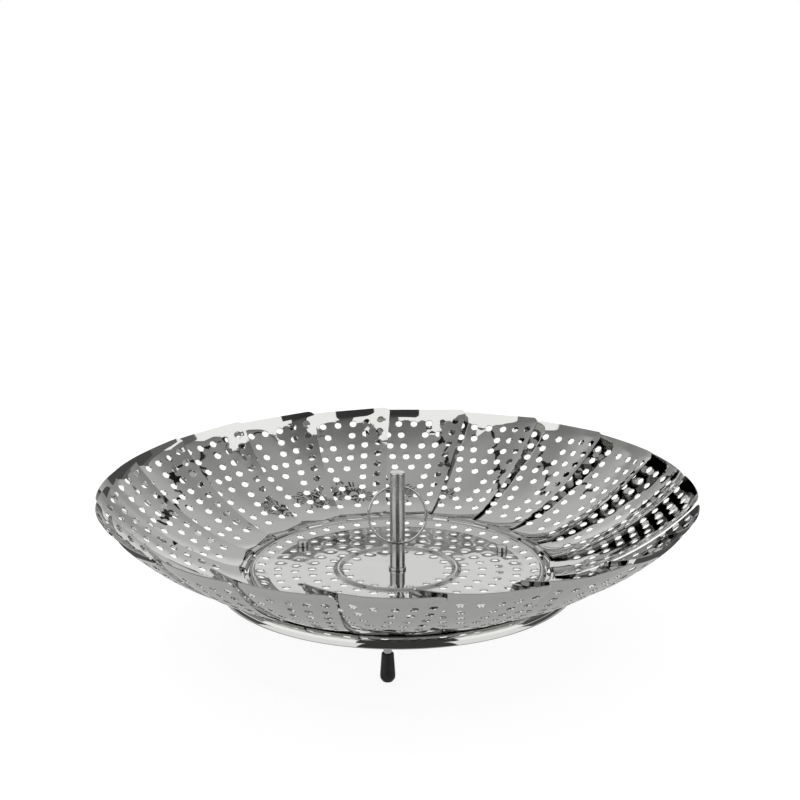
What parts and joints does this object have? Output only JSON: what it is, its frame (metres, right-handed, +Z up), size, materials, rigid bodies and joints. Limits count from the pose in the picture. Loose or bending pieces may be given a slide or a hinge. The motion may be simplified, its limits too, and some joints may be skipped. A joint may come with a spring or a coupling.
{
  "type": "folding steamer basket",
  "caption": "Perforated steel pan on short legs, ringed by hinged overlapping petals that fold in, with a centre post and ring handle, for steaming food inside a pot.",
  "frame": {"origin": "on the level surface that the feet stand on, under the centre post's axis", "axes": "+Z up along the post, -Y towards the side that the picture is taken from, +X to its right"},
  "size_m": [0.2832, 0.2832, 0.0805],
  "materials": {
    "steel": "mirror-polished stainless steel",
    "silicone": "matt moulded black silicone"
  },
  "bodies": {
    "base": {"pan": "steel", "post_foot": "steel", "post_tube": "steel", "post_cap": "steel", "post_washer": "steel", "post_nut": "steel", "right_leg_rod": "steel", "right_leg_nut": "steel", "right_foot": "silicone", "left_leg_rod": "steel", "left_leg_nut": "steel", "left_foot": "silicone", "front_leg_rod": "steel", "front_leg_nut": "steel", "front_foot": "silicone"},
    "petal_01": {"petal_01": "steel"},
    "petal_02": {"petal_02": "steel"},
    "petal_03": {"petal_03": "steel"},
    "petal_04": {"petal_04": "steel"},
    "petal_05": {"petal_05": "steel"},
    "petal_06": {"petal_06": "steel"},
    "petal_07": {"petal_07": "steel"},
    "petal_08": {"petal_08": "steel"},
    "petal_09": {"petal_09": "steel"},
    "petal_10": {"petal_10": "steel"},
    "petal_11": {"petal_11": "steel"},
    "petal_12": {"petal_12": "steel"},
    "petal_13": {"petal_13": "steel"},
    "petal_14": {"petal_14": "steel"},
    "petal_15": {"petal_15": "steel"},
    "petal_16": {"petal_16": "steel"},
    "petal_17": {"petal_17": "steel"},
    "petal_18": {"petal_18": "steel"},
    "petal_19": {"petal_19": "steel"},
    "petal_20": {"petal_20": "steel"},
    "ring_handle": {"ring_handle": "steel"}
  },
  "joints": [
    {"name": "petal_01_hinge", "type": "hinge", "parent": "base", "child": "petal_01", "pos_m": [0.07157, 0.01811, 0.0318], "axis": [0.2453, -0.9694, 0], "range_deg": [0, 62]},
    {"name": "petal_02_hinge", "type": "hinge", "parent": "base", "child": "petal_02", "pos_m": [0.06248, 0.03934, 0.0318], "axis": [0.5329, -0.8462, 0], "range_deg": [0, 62]},
    {"name": "petal_03_hinge", "type": "hinge", "parent": "base", "child": "petal_03", "pos_m": [0.04726, 0.05672, 0.0318], "axis": [0.7683, -0.6401, 0], "range_deg": [0, 62]},
    {"name": "petal_04_hinge", "type": "hinge", "parent": "base", "child": "petal_04", "pos_m": [0.02742, 0.06855, 0.0318], "axis": [0.9285, -0.3714, 0], "range_deg": [0, 62]},
    {"name": "petal_05_hinge", "type": "hinge", "parent": "base", "child": "petal_05", "pos_m": [0.00489, 0.07367, 0.0318], "axis": [0.9978, -0.0663, 0], "range_deg": [0, 62]},
    {"name": "petal_06_hinge", "type": "hinge", "parent": "base", "child": "petal_06", "pos_m": [-0.01811, 0.07157, 0.0318], "axis": [0.9694, 0.2453, 0], "range_deg": [0, 62]},
    {"name": "petal_07_hinge", "type": "hinge", "parent": "base", "child": "petal_07", "pos_m": [-0.03934, 0.06248, 0.0318], "axis": [0.8462, 0.5329, 0], "range_deg": [0, 62]},
    {"name": "petal_08_hinge", "type": "hinge", "parent": "base", "child": "petal_08", "pos_m": [-0.05672, 0.04726, 0.0318], "axis": [0.6401, 0.7683, 0], "range_deg": [0, 62]},
    {"name": "petal_09_hinge", "type": "hinge", "parent": "base", "child": "petal_09", "pos_m": [-0.06855, 0.02742, 0.0318], "axis": [0.3714, 0.9285, 0], "range_deg": [0, 62]},
    {"name": "petal_10_hinge", "type": "hinge", "parent": "base", "child": "petal_10", "pos_m": [-0.07367, 0.00489, 0.0318], "axis": [0.0663, 0.9978, 0], "range_deg": [0, 62]},
    {"name": "petal_11_hinge", "type": "hinge", "parent": "base", "child": "petal_11", "pos_m": [-0.07157, -0.01811, 0.0318], "axis": [-0.2453, 0.9694, 0], "range_deg": [0, 62]},
    {"name": "petal_12_hinge", "type": "hinge", "parent": "base", "child": "petal_12", "pos_m": [-0.06248, -0.03934, 0.0318], "axis": [-0.5329, 0.8462, 0], "range_deg": [0, 62]},
    {"name": "petal_13_hinge", "type": "hinge", "parent": "base", "child": "petal_13", "pos_m": [-0.04726, -0.05672, 0.0318], "axis": [-0.7683, 0.6401, 0], "range_deg": [0, 62]},
    {"name": "petal_14_hinge", "type": "hinge", "parent": "base", "child": "petal_14", "pos_m": [-0.02742, -0.06855, 0.0318], "axis": [-0.9285, 0.3714, 0], "range_deg": [0, 62]},
    {"name": "petal_15_hinge", "type": "hinge", "parent": "base", "child": "petal_15", "pos_m": [-0.00489, -0.07367, 0.0318], "axis": [-0.9978, 0.0663, 0], "range_deg": [0, 62]},
    {"name": "petal_16_hinge", "type": "hinge", "parent": "base", "child": "petal_16", "pos_m": [0.01811, -0.07157, 0.0318], "axis": [-0.9694, -0.2453, 0], "range_deg": [0, 62]},
    {"name": "petal_17_hinge", "type": "hinge", "parent": "base", "child": "petal_17", "pos_m": [0.03934, -0.06248, 0.0318], "axis": [-0.8462, -0.5329, 0], "range_deg": [0, 62]},
    {"name": "petal_18_hinge", "type": "hinge", "parent": "base", "child": "petal_18", "pos_m": [0.05672, -0.04726, 0.0318], "axis": [-0.6401, -0.7683, 0], "range_deg": [0, 62]},
    {"name": "petal_19_hinge", "type": "hinge", "parent": "base", "child": "petal_19", "pos_m": [0.06855, -0.02742, 0.0318], "axis": [-0.3714, -0.9285, 0], "range_deg": [0, 62]},
    {"name": "petal_20_hinge", "type": "hinge", "parent": "base", "child": "petal_20", "pos_m": [0.07367, -0.00489, 0.0318], "axis": [-0.0663, -0.9978, 0], "range_deg": [0, 62]},
    {"name": "ring_handle_swing", "type": "hinge", "parent": "base", "child": "ring_handle", "pos_m": [0, 0, 0.073], "axis": [-1, 0, 0], "range_deg": [0, 340]}
  ],
  "couplings": [
    {"joint": "petal_02_hinge", "follows": "petal_01_hinge", "ratio": 1},
    {"joint": "petal_03_hinge", "follows": "petal_01_hinge", "ratio": 1},
    {"joint": "petal_04_hinge", "follows": "petal_01_hinge", "ratio": 1},
    {"joint": "petal_05_hinge", "follows": "petal_01_hinge", "ratio": 1},
    {"joint": "petal_06_hinge", "follows": "petal_01_hinge", "ratio": 1},
    {"joint": "petal_07_hinge", "follows": "petal_01_hinge", "ratio": 1},
    {"joint": "petal_08_hinge", "follows": "petal_01_hinge", "ratio": 1},
    {"joint": "petal_09_hinge", "follows": "petal_01_hinge", "ratio": 1},
    {"joint": "petal_10_hinge", "follows": "petal_01_hinge", "ratio": 1},
    {"joint": "petal_11_hinge", "follows": "petal_01_hinge", "ratio": 1},
    {"joint": "petal_12_hinge", "follows": "petal_01_hinge", "ratio": 1},
    {"joint": "petal_13_hinge", "follows": "petal_01_hinge", "ratio": 1},
    {"joint": "petal_14_hinge", "follows": "petal_01_hinge", "ratio": 1},
    {"joint": "petal_15_hinge", "follows": "petal_01_hinge", "ratio": 1},
    {"joint": "petal_16_hinge", "follows": "petal_01_hinge", "ratio": 1},
    {"joint": "petal_17_hinge", "follows": "petal_01_hinge", "ratio": 1},
    {"joint": "petal_18_hinge", "follows": "petal_01_hinge", "ratio": 1},
    {"joint": "petal_19_hinge", "follows": "petal_01_hinge", "ratio": 1},
    {"joint": "petal_20_hinge", "follows": "petal_01_hinge", "ratio": 1}
  ]
}
